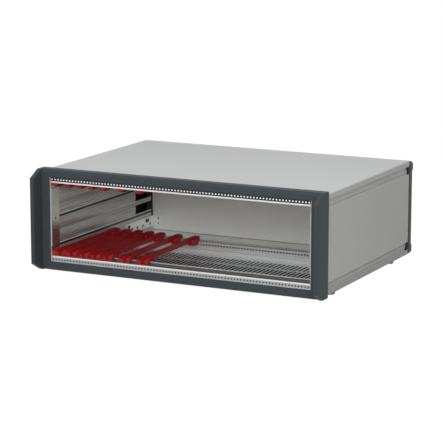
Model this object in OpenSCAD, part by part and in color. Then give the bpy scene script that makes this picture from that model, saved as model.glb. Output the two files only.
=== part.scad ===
// Rack mount case: a 3U card cage in a desktop housing, with a die-cast front bezel.
// Millimetres. The front faces -Y, +Z is up, the feet stand on Z = 0 and X = 0 is the middle.

/* [Card cage] */
// Width of one card pitch
hp = 5.08; // [4:0.01:6]
// Number of card pitches across the cage
hp_count = 84; // [60:1:100]
// Height of the boards that the guides hold
card_h = 100; // [90:0.5:120]
// From a board's edge to the rail below or above it
board_gap = 6; // [4:0.1:15]
// From a rail's inner face to its row of front panel screws
screw_row = 5.25; // [4.5:0.05:6]
// Thickness of an inner side plate
plate_t = 1.5; // [1.2:0.1:3]
// Depth of the flat strip at the front of a side plate
plate_strip = 22; // [15:1:40]
// Number of flutes along a side plate
flute_count = 4; // [2:1:5]
// From the lower rails to the lowest flute
flute_foot = 14.5; // [10:0.5:20]
// From the highest flute to the upper rails
flute_head = 9.5; // [9:0.5:20]
// How far a flute stands proud at its middle
flute_rise = 1.2; // [0.4:0.1:2]
// Height of the joints below, between and above the fluted boards
joint_h = 1.2; // [0.6:0.1:2]
// Depth of those joints in the plate
joint_d = 0.9; // [0.3:0.1:1]
// Radius of the bead along each fluted board's lower edge
bead_r = 0.8; // [0.4:0.1:0.9]
// Radius of the fixing hole in a side plate's front strip
plate_hole_r = 2; // [1:0.1:3]
// From a side plate's rear end to the rear panel
plate_gap = 8; // [2:0.5:16]

/* [Card guides] */
// Guides that stand close together
close_guides = 5; // [1:1:6]
// Pitches between the close guides
close_step = 4; // [2:1:6]
// Guides that stand wider apart
wide_guides = 2; // [0:1:4]
// Pitches between the wide guides
wide_step = 6; // [4:1:8]
// How far a guide reaches over the front rail's lip
guide_lap_front = 3; // [0.5:0.1:4]
// How far it reaches over the rear rail
guide_lap_rear = 12; // [11:0.1:15]
// Width of a guide at its two ends
guide_end_w = 4.9; // [4:0.1:5]
// Width of a guide between its ends
guide_w = 3.9; // [3.4:0.1:4.6]
// Length of a guide's end block
guide_end_len = 42; // [34:0.5:60]
// How much higher the end blocks stand
guide_end_rise = 0.4; // [0.2:0.1:2]
// Length of the slope at each end of a guide
guide_lead = 9; // [3:0.5:15]
// Length of the foot at a guide's front end
guide_nose_len = 9; // [4:0.5:12]
// Length of the hooked feet that hold a guide between the rails
guide_hook_len = 18; // [6:0.5:20]
// How far those hooks hang below a rail's inner face
guide_hook_drop = 4; // [2:0.1:6]
// How far a guide's feet reach out to its right
guide_foot_out = 4; // [1:0.1:5]
// Height of those feet above a rail's inner face
guide_foot_h = 5; // [3:0.1:5.5]
// Width of a guide's clip pegs
guide_clip_w = 3; // [2:0.1:3.4]
// Edge left beside the groove's flared mouth
mouth_edge = 0.4; // [0.2:0.05:0.8]
// Width of the board groove
groove_w = 2; // [1.6:0.1:2.4]
// Depth of the board groove
groove_d = 2.2; // [1.5:0.1:5]

/* [Rails] */
// Height of a lower rail
lower_rail_h = 18.5; // [14:0.5:26]
// Height of an upper rail
upper_rail_h = 15.5; // [13.5:0.5:24]
// How far a front rail's nose reaches into the bezel
nose_reach = 14.6; // [10:0.1:15.5]
// Height of a front rail's nose
nose_h = 8.8; // [8.6:0.1:11]
// Depth of a front rail behind the bezel
rail_d = 14; // [11:0.5:24]
// Depth of the lip along a front rail's face
lip_d = 8.6; // [5:0.1:10]
// Depth of the ridge along a front rail's back
ridge_d = 6; // [3:0.5:8]
// Depth of the clip channel in a rail
channel_depth = 3; // [2:0.1:3.2]
// Distance between the front edges of the front and rear rails
rail_spacing = 192; // [150:1:230]
// Depth of a rear rail
rear_rail_d = 16; // [14:0.5:24]
// Width of a rear rail's clip channel
rear_channel_w = 5; // [4:0.1:8]
// From a rear rail's inner face to its row of holes
rear_hole_row = 4.7; // [4.4:0.05:5]
// Radius of the holes along a rear rail
rear_hole_r = 1.7; // [1.2:0.05:1.8]
// Height of the groove that those holes lie in
rear_groove_h = 4; // [3.8:0.1:4.6]
// Depth of that groove
rear_groove_d = 0.8; // [0.3:0.1:1.2]
// Wall of the rails' hollows
rail_wall = 2.2; // [1.5:0.1:3]
// Height of a threaded strip
strip_h = 5.4; // [4:0.1:6]
// Thickness of a threaded strip
strip_t = 2.5; // [2:0.1:4]
// Radius of a threaded strip's screw holes
strip_hole_r = 1.25; // [1:0.05:1.5]
// Height of the groove behind the strip, where the screws' ends go
screw_groove_h = 3.4; // [2.8:0.1:3.8]
// Depth of that groove
screw_groove_d = 4; // [2:0.1:5]

/* [Body] */
// Depth of the body behind the bezel
body_d = 318; // [270:1:400]
// Thickness of the cover and base sheets
sheet_t = 1.5; // [1:0.1:2.5]
// Height of the folded edge of the cover and of the base
fold_h = 9; // [7:0.5:12]
// Outside radius of the cover's and the base's bends
bend_r = 3; // [2.6:0.1:5]
// Thickness of an outer side panel
panel_t = 2.5; // [2.2:0.1:3]
// Chamfer along a side panel's long edges
panel_chamfer = 1.4; // [0.3:0.1:1.4]

/* [Corner profiles] */
// Width of a corner profile
profile_w = 16.6; // [15.5:0.1:22]
// Height of a corner profile
profile_h = 16; // [14.5:0.5:20]
// How far the sloped band is sunk under the sheet's folded edge
band_sink = 0.6; // [0.2:0.1:1]
// Height of the ledge behind the side panel
ledge_h = 7; // [4:0.5:12]
// Thickness of that ledge
ledge_t = 2; // [1.2:0.1:3]
// Wall of the profile's hollow
profile_wall = 2; // [1.2:0.1:2.2]
// Radius of the fixing bore at the profile's ends
fixing_r = 2.1; // [1.5:0.05:2.4]
// Radius of the boss round that bore
fixing_boss_r = 4.2; // [3.2:0.1:4.4]
// From the side plate to the fixing bore
fixing_in = 5.5; // [5:0.1:6]
// From the sheet to the fixing bore
fixing_down = 10.5; // [9.5:0.1:11]
// Thickness of the tongue on a side panel's edges
tongue_t = 0.9; // [0.7:0.05:1]
// Height of that tongue
tongue_h = 3; // [1.5:0.1:3.5]
// Length of an end clip
clip_len = 9; // [5:0.5:14]
// Height of an end clip
clip_h = 11.5; // [9:0.1:13]
// How far an end clip stands proud of the body
clip_proud = 0.7; // [0.5:0.1:1.2]

/* [Bezel] */
// Depth of the bezel's frame
bezel_d = 16.5; // [16:0.5:24]
// How far the side bars stand in front of the frame
bar_reach = 23; // [10:0.5:32]
// Width of a side bar at its front
bar_front_w = 6.4; // [5:0.1:9]
// Width of a side bar at its root
bar_root_w = 7.4; // [5:0.1:12]
// Height taken off a side bar's ends at the front
bar_slope_h = 12.4; // [6:0.1:20]
// Edge radius of a side bar
bar_edge_r = 1.2; // [0.5:0.1:2]
// Bevel along the frame's upper and lower front edges
bezel_bevel = 3.6; // [1:0.1:5]
// Corner radius of the bezel's outline
bezel_corner_r = 2; // [0.5:0.1:4]
// How far the bezel overhangs the body's sides
over_side = 2; // [0.8:0.1:6]
// How far it overhangs the top
over_top = 3.7; // [1:0.1:6]
// How far it overhangs the bottom
over_bottom = 2.2; // [1:0.1:4]
// Length of the bezel's locating pegs
peg_len = 12; // [6:0.5:20]
// How deep a peg is rooted in the bezel
peg_root = 4; // [1:0.5:10]

/* [Rear] */
// Depth of the rear frame
rear_frame_d = 13; // [8:0.5:20]
// Corner radius of the rear frame's outline
rear_corner_r = 4; // [3:0.5:6]
// Depth of the rear frame's inner lip
rear_lip_d = 6.5; // [4:0.5:12]
// Width of that lip
rear_lip_w = 10; // [9:0.5:14]
// How far the frame's rear rim covers the lip
rear_rim_w = 3; // [1.5:0.5:3]
// How far the rear frame's upper edge stays below the cover
rear_drop = 3; // [0:0.5:6]
// Width of the shadow gap between the body and the rear frame
rear_gap_w = 3.2; // [1:0.1:6]
// Depth of that gap
rear_gap_d = 1.5; // [0.5:0.1:2.5]
// Gap between the rear panel and the sheets below and above it
panel_gap = 0.8; // [0.2:0.1:2]
// Thickness of the rear panel
rear_panel_t = 2; // [1.5:0.1:3]
// Width of a rear pad
pad_w = 20; // [16:0.5:26]
// Height of a rear pad
pad_h = 17; // [15:0.5:24]
// How far a rear pad stands out behind the frame
pad_d = 4; // [3.6:0.1:8]
// Corner radius of a rear pad
pad_r = 5; // [2:0.5:7]

/* [Side plate windows and brackets] */
// From the rear panel to the front of the windows, which are open to the rear
window_reach = 63; // [40:1:80]
// Height of one window
window_h = 15; // [6:0.5:16]
// From the lower edge of a flute to its window
window_up = 2.5; // [2.5:0.5:6]
// From the guides' backs to the rear brackets
bracket_gap = 26; // [2:1:50]
// Height of a rear bracket
bracket_h = 17; // [14:0.5:24]
// Width of a rear bracket's foot on the rear panel
bracket_foot = 19; // [14:0.5:30]
// Thickness of a rear bracket
bracket_t = 1.5; // [1:0.1:2.5]
// Height of a rear bracket above the floor
bracket_up = 7.5; // [6:0.5:12]
// Radius of a rear bracket's spare holes
bracket_hole_r = 1.6; // [1:0.1:2]
// Pitch of those holes
bracket_pitch = 17; // [12:0.5:20]
// From the rear panel to the nearest of them
bracket_hole_in = 41; // [34:0.5:44]
// Least distance from those holes to the bracket's front end
bracket_hole_edge = 10; // [4:0.5:20]

/* [Vents] */
// Rows of vent slots in the base
vent_rows = 3; // [1:1:3]
// Pitch of the rows
vent_row_pitch = 41; // [30:0.5:46]
// Length of a slot
vent_len = 32; // [15:0.5:34]
// Width of a slot
vent_w = 3.4; // [2:0.1:4.5]
// Pitch of the slots along a row
vent_pitch = 7.3; // [6:0.1:12]
// From the rear rail to the nearest row
vent_gap = 17; // [6:0.5:24]
// Bare edge beside the slots
vent_edge = 8; // [4:0.5:20]

/* [Feet] */
// Height of a foot
foot_h = 4; // [4:0.5:15]
// Thickness of a foot above its screw's head
foot_web = 1.2; // [0.8:0.1:1.5]
// Radius of a foot at its top
foot_r = 7.5; // [6.6:0.1:8.5]
// How much a foot narrows to its lower edge
foot_taper = 1; // [0.3:0.1:2]
// Height of the broken edges of a foot
foot_edge = 0.8; // [0.3:0.1:1.5]
// From the bezel to the front feet
foot_front = 35; // [20:1:60]
// From the body's back to the rear feet
foot_rear = 54; // [20:1:90]

/* [Fasteners] */
// Radius of the small screws' shanks
small_r = 1.5; // [1.2:0.05:1.6]
// Head radius of the countersunk small screws
csk_r = 2.7; // [2.3:0.1:2.8]
// Head radius of the raised small screws
small_head_r = 2.75; // [2.4:0.05:3]
// Head height of the raised small screws
small_head_h = 1.8; // [1:0.1:2.2]
// Length of the rail screws past the plate
rail_screw_len = 9; // [6:0.5:14]
// Length of the plate screws past the plate
plate_screw_len = 4; // [3:0.5:8]
// From the sheet to the row of plate screws
plate_screw_up = 4.1; // [3.9:0.1:5]
// From the front rail to the front plate screws
plate_screw_front = 20; // [10:0.5:60]
// From the rear bracket to the rear plate screws
plate_screw_rear = 12; // [6:0.5:40]
// From a bracket's front end to its front rivet
rivet_front = 8; // [5:0.5:12]
// From the rear panel to a bracket's rear rivet
rivet_rear = 26; // [20:0.5:30]
// From a bracket's upper edge to its rivets
rivet_down = 5; // [4:0.1:7]
// Height of a rivet's heads
rivet_head_h = 1; // [0.5:0.1:1.4]
// Shank radius of the rear frame's screws and of the bezel's pegs
fixing_shank_r = 2; // [1.4:0.05:2.3]
// Head radius of the rear frame's screws
fixing_head_r = 3.5; // [3:0.1:4]
// Head height of the rear frame's screws
fixing_head_h = 2.2; // [1.8:0.1:2.4]
// Length of the rear frame's screws in the profile
fixing_len = 16; // [8:0.5:24]
// How far a foot's screw reaches past the profile's wall
foot_screw_over = 1; // [0.5:0.1:4]

/* [Fits] */
// Clearance round a screw or peg in its hole
hole_clear = 0.1; // [0.05:0.05:0.2]
// Clearance between pieces that slide together
slide_clear = 0.1; // [0.05:0.05:0.25]
// Play of a guide's clip pegs along their channels
clip_play = 0.3; // [0.1:0.05:0.6]
// Gap between the bezel's opening and what stands in it
bezel_clear = 0.15; // [0.1:0.05:0.4]
// Gap of the seams beside the side panels
seam_gap = 0.8; // [0.3:0.1:1.2]
// How far the side panels are sunk below the folded edges
panel_sink = 0.3; // [0.1:0.1:0.5]
// Spare height between a board's edge and its groove
card_clear = 0.4; // [0.2:0.1:0.8]

/* [Hidden] */
SIDES = ["left", "right"];
LEVELS = ["lower", "upper"];
ENDS = ["front", "rear"];
$fn = 48;
eps = 0.01;

guide_count = close_guides + wide_guides;
guide_slots = concat(
    [for (i = [0:close_guides - 1]) i * close_step],
    [for (i = [1:1:wide_guides]) (close_guides - 1) * close_step + i * wide_step]);

// Widths, from the middle outwards
cage_half = hp * hp_count / 2;
plate_out = cage_half + plate_t;
profile_out = plate_out + profile_w;
body_half = profile_out + sheet_t;
bezel_half = body_half + over_side;
panel_face = body_half - panel_sink;
panel_back = panel_face - panel_t;
opening_half = plate_out + bezel_clear;

// Heights, from the feet upwards
z_bottom = foot_h;
z_floor = z_bottom + sheet_t;
z_low = z_floor + lower_rail_h;
z_high = z_low + card_h + 2 * board_gap;
z_mid = (z_low + z_high) / 2;
flute_h = (z_high - flute_head - z_low - flute_foot) / flute_count;
z_roof = z_high + upper_rail_h;
z_top = z_roof + sheet_t;
bezel_bottom = z_bottom - over_bottom;
bezel_top = z_top + over_top;
opening_low = z_low - nose_h - bezel_clear;
opening_high = z_high + nose_h + bezel_clear;
rear_top = z_top - rear_drop;
rear_roof = z_roof - rear_drop;

// Depths, from the front backwards
total_d = bar_reach + bezel_d + body_d + rear_frame_d + pad_d;
y_front = -total_d / 2;
y_bezel = y_front + bar_reach;
y_body = y_bezel + bezel_d;
y_back = y_body + body_d;
y_rear = y_back + rear_frame_d;
y_panel = y_back - rear_lip_d - rear_panel_t;
plate_back = y_panel - plate_gap;
y_nose = y_body - nose_reach;
y_lip = y_nose + lip_d;
y_strip_back = y_nose + plate_strip;
y_ridge = y_body + rail_d - ridge_d;
y_rail_back = y_body + rail_d;
y_rear_rail = y_nose + rail_spacing;
y_rear_channel = y_rear_rail + (rear_rail_d - rear_channel_w) / 2;
guide_front = y_lip - guide_lap_front;
guide_back = y_rear_rail + guide_lap_rear;
groove_floor = board_gap - card_clear;

// The corner profile's section: distances out from the plate and in from the sheet
band_start = fold_h - sheet_t;
band_low = profile_w - band_sink;
seam_out = panel_face - plate_out;
ledge_out = panel_back - plate_out;
groove_out = ledge_out + tongue_t + slide_clear;
groove_end = profile_h - tongue_h - slide_clear;
profile_bend = bend_r - sheet_t;
hollow_out = ledge_out - ledge_t - profile_wall;

fixing_x = plate_out + fixing_in;
fixing_z = z_floor + fixing_down;
rear_screw_in = (rear_lip_w + rear_rim_w) / 2;
foot_x = plate_out + profile_w / 2;
rail_screw_ys = [y_body + rail_d / 2, y_rear_rail + rear_rail_d / 2];
rail_screw_z = z_floor + rail_wall + small_r;
rail_hollow_z = rail_screw_z + small_r + rail_wall;
plate_screw_z = z_floor + plate_screw_up;
bracket_front = guide_back + bracket_gap;
bracket_low = z_floor + bracket_up;
plate_screw_ys = [y_rail_back + plate_screw_front, bracket_front - plate_screw_rear];

module along_x(x0, length)
    translate([x0, 0, 0]) rotate([90, 0, 90]) linear_extrude(length) children();
module along_y(y0, length)
    translate([0, y0 + length, 0]) rotate([90, 0, 0]) linear_extrude(length) children();
module rod_y(x, y0, z, r, length)
    translate([x, y0, z]) rotate([-90, 0, 0]) cylinder(r = r, h = length);
module rod_x(x0, y, z, r, length)
    translate([x0, y, z]) rotate([0, 90, 0]) cylinder(r = r, h = length);
module on_side(side) mirror([side == "left" ? 1 : 0, 0, 0]) children();
module box(low, high) translate(low) cube(high - low);

// The upper pieces are the lower ones turned over about the level between floor and roof
module at_level(level) {
    if (level == "upper") translate([0, 0, z_floor + z_roof]) mirror([0, 0, 1]) children();
    else children();
}
function rail_h(level) = level == "upper" ? upper_rail_h : lower_rail_h;
function slot_x(i) = -cage_half + hp / 2 + guide_slots[i - 1] * hp;

// Rectangle with round corners, made of straight strips and four discs
module round_rect(low, high, r) {
    translate([low[0] + r, low[1]]) square([high[0] - low[0] - 2 * r, high[1] - low[1]]);
    translate([low[0], low[1] + r]) square([high[0] - low[0], high[1] - low[1] - 2 * r]);
    for (x = [low[0] + r, high[0] - r]) for (z = [low[1] + r, high[1] - r])
        translate([x, z]) circle(r);
}

// Front bezel: a frame with a sloped-end bar down each side and four pegs at the back
module bezel_frame_section() polygon([
    [y_body, bezel_bottom], [y_body, bezel_top], [y_bezel + bezel_bevel, bezel_top],
    [y_bezel, bezel_top - bezel_bevel], [y_bezel, bezel_bottom + bezel_bevel],
    [y_bezel + bezel_bevel, bezel_bottom]]);

module bar_outline() polygon([
    [y_body, bezel_bottom], [y_body, bezel_top], [y_bezel, bezel_top],
    [y_front, bezel_top - bar_slope_h], [y_front, bezel_bottom + bar_slope_h],
    [y_bezel, bezel_bottom]]);

module bar_plan() {
    front_in = bezel_half - bar_front_w + bar_edge_r;
    front_out = bezel_half - bar_edge_r;
    polygon([
        [bezel_half - bar_root_w, y_body], [bezel_half - bar_root_w, y_bezel],
        [front_in - bar_edge_r, y_front + bar_edge_r], [front_in, y_front],
        [front_out, y_front], [bezel_half, y_front + bar_edge_r], [bezel_half, y_body]]);
    for (x = [front_in, front_out]) translate([x, y_front + bar_edge_r]) circle(bar_edge_r);
}

module bezel_bar() intersection() {
    along_x(bezel_half - bar_root_w, bar_root_w) bar_outline();
    translate([0, 0, bezel_bottom]) linear_extrude(bezel_top - bezel_bottom) bar_plan();
}

module front_bezel() color([0.235, 0.26, 0.27]) difference() {
    intersection() {
        union() {
            along_x(-bezel_half, 2 * bezel_half) bezel_frame_section();
            for (side = SIDES) on_side(side) bezel_bar();
            for (side = SIDES) on_side(side) for (level = LEVELS) at_level(level)
                rod_y(fixing_x, y_body - peg_root, fixing_z, fixing_shank_r, peg_root + peg_len);
        }
        along_y(y_front, bar_reach + bezel_d + peg_len) round_rect(
            [-bezel_half, bezel_bottom], [bezel_half, bezel_top], bezel_corner_r);
    }
    box([-opening_half, y_bezel - eps, opening_low], [opening_half, y_body + eps, opening_high]);
}

// Cover and base: sheets folded along both long edges
module fold_section() {
    inner_r = bend_r - sheet_t;
    difference() {
        union() {
            translate([-body_half + bend_r, z_bottom]) square([2 * (body_half - bend_r), fold_h]);
            translate([-body_half, z_bottom + bend_r]) square([2 * body_half, fold_h - bend_r]);
            for (s = [-1, 1]) translate([s * (body_half - bend_r), z_bottom + bend_r]) circle(bend_r);
        }
        translate([-profile_out + inner_r, z_floor]) square([2 * (profile_out - inner_r), fold_h]);
        translate([-profile_out, z_bottom + bend_r]) square([2 * profile_out, fold_h]);
        for (s = [-1, 1]) translate([s * (body_half - bend_r), z_bottom + bend_r]) circle(inner_r);
    }
}

module top_cover() color([0.76, 0.77, 0.76]) at_level("upper") along_y(y_body, body_d) fold_section();

module vent_slot() {
    r = vent_w / 2;
    translate([-r, -vent_len / 2 + r]) square([vent_w, vent_len - vent_w]);
    for (s = [-1, 1]) translate([0, s * (vent_len / 2 - r)]) circle(r);
}

module vent_grid() {
    per_side = floor((cage_half - vent_edge - vent_w / 2) / vent_pitch);
    last_row = y_rear_rail - vent_gap - vent_len / 2;
    for (row = [0:vent_rows - 1]) for (i = [-per_side:per_side])
        translate([i * vent_pitch, last_row - row * vent_row_pitch]) vent_slot();
}

module base_plate() color([0.62, 0.63, 0.62]) difference() {
    along_y(y_body, body_d) fold_section();
    translate([0, 0, z_bottom - eps]) linear_extrude(sheet_t + 2 * eps) vent_grid();
    for (side = SIDES) on_side(side) for (y = foot_ys()) translate([foot_x, y, z_bottom - eps])
        cylinder(r = fixing_shank_r + hole_clear, h = sheet_t + 2 * eps);
}

// Corner profile: a hollow extrusion with a sloped band, a panel groove, a ledge and a fixing bore
module profile_section() translate([plate_out, z_floor]) {
    difference() {
        polygon([
            [0, 0], [profile_w - profile_bend, 0], [profile_w, profile_bend],
            [profile_w, band_start], [band_low, band_start], [seam_out, profile_h],
            [groove_out, profile_h], [groove_out, groove_end], [ledge_out, groove_end],
            [ledge_out, profile_h + ledge_h], [ledge_out - ledge_t, profile_h + ledge_h],
            [ledge_out - ledge_t, profile_h], [0, profile_h]]);
        difference() {
            translate([profile_wall, profile_wall])
                square([hollow_out - profile_wall, profile_h - 2 * profile_wall]);
            translate([fixing_in, fixing_down]) circle(fixing_boss_r);
        }
        translate([fixing_in, fixing_down]) circle(fixing_r);
    }
}

module corner_profile(side, level) color([0.64, 0.65, 0.64])
    on_side(side) at_level(level) difference() {
        along_y(y_body, body_d) profile_section();
        for (y = plate_screw_ys)
            rod_x(plate_out - eps, y, plate_screw_z, small_r + hole_clear, profile_wall + 2 * eps);
        if (level == "lower") for (y = foot_ys()) translate([foot_x, y, z_floor - eps])
            cylinder(r = fixing_shank_r + hole_clear, h = profile_wall + 2 * eps);
    }

// Side panel: a flat plate with chamfered edges and a tongue along its top and bottom
module side_panel(side) color([0.60, 0.60, 0.59]) on_side(side) along_y(y_body, body_d) {
    low = z_floor + profile_h + seam_gap;
    high = z_roof - profile_h - seam_gap;
    tongue_low = z_floor + profile_h - tongue_h;
    tongue_high = z_roof - profile_h + tongue_h;
    tongue_out = panel_back + tongue_t;
    polygon([
        [panel_back, tongue_low], [panel_back, tongue_high], [tongue_out, tongue_high],
        [tongue_out, high], [panel_face - panel_chamfer, high], [panel_face, high - panel_chamfer],
        [panel_face, low + panel_chamfer], [panel_face - panel_chamfer, low],
        [tongue_out, low], [tongue_out, tongue_low]]);
}

// Inner side plate: fluted boards with joints and beads, a flat strip in front and windows at the rear
module flute_section() {
    chord_r = (flute_h * flute_h / 4 + flute_rise * flute_rise) / (2 * flute_rise);
    for (i = [0:flute_count - 1]) translate([cage_half, flute_low(i)]) intersection() {
        translate([chord_r - flute_rise, flute_h / 2]) circle(chord_r, $fn = 96);
        translate([-2 * flute_rise, 0]) square([2 * flute_rise + plate_t / 2, flute_h]);
    }
}
function flute_low(i) = z_low + flute_foot + i * flute_h;
function board_ends() = [0, floor(flute_count / 2), flute_count];

module plate_windows() for (i = [0:flute_count - 1])
    translate([y_panel - window_reach, flute_low(i) + window_up]) square([window_reach, window_h]);

module side_plate(side) color([0.72, 0.72, 0.71]) on_side(side) difference() {
    union() {
        box([cage_half, y_body, z_floor], [plate_out, plate_back, z_roof]);
        box([cage_half, y_nose, z_low - nose_h], [plate_out, y_body + eps, z_high + nose_h]);
        box([cage_half - flute_rise, y_nose, flute_low(0)],
            [cage_half + eps, y_strip_back, flute_low(flute_count)]);
        along_y(y_strip_back - eps, y_panel - window_reach - y_strip_back + eps) flute_section();
        for (i = board_ends()) if (i < flute_count) rod_y(cage_half, y_strip_back - eps,
            flute_low(i) + joint_h / 2 + bead_r, bead_r, plate_back - y_strip_back + eps);
    }
    for (i = board_ends()) box([cage_half - flute_rise - eps, y_strip_back, flute_low(i) - joint_h / 2],
        [cage_half + joint_d, plate_back + eps, flute_low(i) + joint_h / 2]);
    along_x(cage_half - eps, plate_t + 2 * eps) plate_windows();
    rod_x(cage_half - flute_rise - eps, y_nose + plate_strip / 2, z_mid,
        plate_hole_r, flute_rise + plate_t + 2 * eps);
    for (level = LEVELS) at_level(level) {
        for (y = rail_screw_ys) translate([0, y, rail_screw_z]) csk_hole(1);
        for (y = plate_screw_ys) translate([0, y, plate_screw_z]) csk_hole(-1);
    }
    for (spot = bracket_rivet_spots())
        rod_x(cage_half - eps, spot[0], spot[1], small_r + hole_clear, plate_t + 2 * eps);
}

// Countersunk hole through a side plate, opening outwards (1) or inwards (-1)
module csk_hole(way)
    translate([cage_half + plate_t / 2, 0, 0]) rotate([0, 90 * way, 0]) csk_cone(hole_clear, eps);

// Cone of a countersunk head, as thick as the plate and centred on it
module csk_cone(extra, over) translate([0, 0, -plate_t / 2 - over])
    cylinder(r1 = small_r + extra, r2 = csk_r + extra, h = plate_t + 2 * over);

function bracket_rivet_spots() = [
    for (y = [bracket_front + rivet_front, y_panel - rivet_rear])
        [y, bracket_low + bracket_h - rivet_down]];

// Front rail: a nose with the strip's channel, a lip, a clip channel and a ridge, over a hollow foot
module front_rail_section(h) {
    row = h - screw_row;
    channel_low = row - strip_h / 2 - slide_clear;
    channel_high = row + strip_h / 2 + slide_clear;
    channel_y = y_nose + strip_t + slide_clear;
    web_front = y_body + bezel_clear;
    difference() {
        translate([0, z_floor]) polygon([
            [y_nose, h], [y_lip, h], [y_lip, h - channel_depth], [y_ridge, h - channel_depth],
            [y_ridge, h], [y_rail_back, h], [y_rail_back, 0], [web_front, 0],
            [web_front, h - nose_h], [y_nose, h - nose_h], [y_nose, channel_low],
            [channel_y, channel_low], [channel_y, channel_high], [y_nose, channel_high]]);
        translate([channel_y - eps, z_floor + row - screw_groove_h / 2])
            square([screw_groove_d + eps, screw_groove_h]);
        translate([rail_screw_ys[0], rail_screw_z]) circle(small_r + hole_clear);
        translate([web_front + rail_wall, rail_hollow_z])
            square([y_rail_back - web_front - 2 * rail_wall, rail_hollow_h(h)]);
    }
}

module front_rail(level) color([0.78, 0.78, 0.77]) at_level(level)
    along_x(-cage_half, 2 * cage_half) front_rail_section(rail_h(level));

function rail_hollow_h(h) = z_floor + h - channel_depth - rail_wall - rail_hollow_z;

// Rear rail: a hollow bar with a clip channel and a row of holes in a groove along its front
module rear_rail_section(h) {
    back = y_rear_rail + rear_rail_d;
    channel_back = y_rear_channel + rear_channel_w;
    groove_back = y_rear_rail + rear_groove_d;
    groove_low = h - rear_hole_row - rear_groove_h / 2;
    difference() {
        translate([0, z_floor]) polygon([
            [y_rear_rail, 0], [back, 0], [back, h], [channel_back, h],
            [channel_back, h - channel_depth], [y_rear_channel, h - channel_depth],
            [y_rear_channel, h], [y_rear_rail, h], [y_rear_rail, groove_low + rear_groove_h],
            [groove_back, groove_low + rear_groove_h], [groove_back, groove_low],
            [y_rear_rail, groove_low]]);
        translate([rail_screw_ys[1], rail_screw_z]) circle(small_r + hole_clear);
        translate([y_rear_rail + rail_wall, rail_hollow_z])
            square([rear_rail_d - 2 * rail_wall, rail_hollow_h(h)]);
    }
}

module rear_rail(level) color([0.74, 0.74, 0.73]) at_level(level) difference() {
    along_x(-cage_half, 2 * cage_half) rear_rail_section(rail_h(level));
    hole_z = z_floor + rail_h(level) - rear_hole_row;
    for (i = [0:hp_count - 1])
        rod_y(hole_x(i), y_rear_rail - eps, hole_z, rear_hole_r, rail_wall + 2 * eps);
}
function hole_x(i) = (i - (hp_count - 1) / 2) * hp;

// Threaded strip: a flat bar with one screw hole for each pitch
module threaded_strip(level) color([0.55, 0.56, 0.57]) at_level(level) difference() {
    row_z = z_floor + rail_h(level) - screw_row;
    low = row_z - strip_h / 2;
    box([-cage_half + slide_clear, y_nose + slide_clear, low],
        [cage_half - slide_clear, y_nose + slide_clear + strip_t, low + strip_h]);
    for (i = [0:hp_count - 1])
        rod_y(hole_x(i), y_nose, row_z, strip_hole_r, strip_t + 2 * slide_clear);
}

// Card guide: a grooved bar with broad sloped ends, a clip peg in each rail and feet on and between the rails
module guide_bar(w, length, height) difference() {
    translate([-w / 2, 0, 0]) cube([w, length, height]);
    translate([-groove_w / 2, -eps, groove_floor]) cube([groove_w, length + 2 * eps, height]);
}

module card_guide(i, level) color([0.78, 0.09, 0.10]) at_level(level) {
    height = groove_floor + groove_d;
    end_h = height + guide_end_rise;
    length = guide_back - guide_front;
    lead = guide_end_w / 2;
    mouth = lead - mouth_edge;
    rail_top = z_floor + rail_h(level);
    translate([slot_x(i), guide_front, rail_top]) difference() {
        union() {
            guide_bar(guide_w, length, height);
            guide_bar(guide_end_w, guide_end_len, end_h);
            translate([0, length - guide_end_len, 0]) guide_bar(guide_end_w, guide_end_len, end_h);
            guide_clip(y_lip, y_ridge);
            guide_clip(y_rear_channel, y_rear_channel + rear_channel_w);
            guide_foot(guide_front, guide_nose_len, 0);
            guide_foot(y_rail_back + slide_clear, guide_hook_len, guide_hook_drop);
            guide_foot(y_rear_rail - slide_clear - guide_hook_len, guide_hook_len, guide_hook_drop);
        }
        translate([0, 0, groove_floor]) linear_extrude(end_h)
            polygon([[-mouth, -eps], [mouth, -eps], [groove_w / 2, lead], [-groove_w / 2, lead]]);
        along_x(-guide_end_w, 2 * guide_end_w) {
            polygon([[-eps, height - groove_d], [guide_lead, end_h + eps], [-eps, end_h + eps]]);
            polygon([[length + eps, height - groove_d], [length + eps, end_h + eps],
                [length - guide_lead, end_h + eps]]);
        }
    }
}

// Foot of a guide: on a rail, or hooked against a rail's inner side
module guide_foot(y0, length, drop)
    translate([-guide_end_w / 2, y0 - guide_front, -drop])
        cube([guide_end_w + guide_foot_out, length, drop + guide_foot_h]);

// Clip peg of a guide, between the two edges of a rail's channel
module guide_clip(y0, y1)
    translate([-guide_clip_w / 2, y0 + clip_play - guide_front, slide_clear - channel_depth])
        cube([guide_clip_w, y1 - y0 - 2 * clip_play, channel_depth]);

// Rear bracket: an angle between a side plate and the rear panel
module rear_bracket(side) color([0.83, 0.83, 0.82]) on_side(side) difference() {
    union() {
        box([cage_half - bracket_t, bracket_front, bracket_low],
            [cage_half, y_panel, bracket_low + bracket_h]);
        box([cage_half - bracket_foot, y_panel - bracket_t, bracket_low],
            [cage_half, y_panel, bracket_low + bracket_h]);
    }
    for (y = [y_panel - bracket_hole_in:-bracket_pitch:bracket_front + bracket_hole_edge])
        rod_x(cage_half - bracket_t - eps, y, bracket_low + bracket_h / 4,
            bracket_hole_r, bracket_t + 2 * eps);
    for (spot = bracket_rivet_spots())
        rod_x(cage_half - bracket_t - eps, spot[0], spot[1], small_r + hole_clear, bracket_t + 2 * eps);
    for (z = [bracket_low + bracket_h / 4, bracket_low + bracket_h * 3 / 4])
        rod_y(cage_half - bracket_foot / 2, y_panel - bracket_t - eps, z,
            bracket_hole_r, bracket_t + 2 * eps);
}

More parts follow.
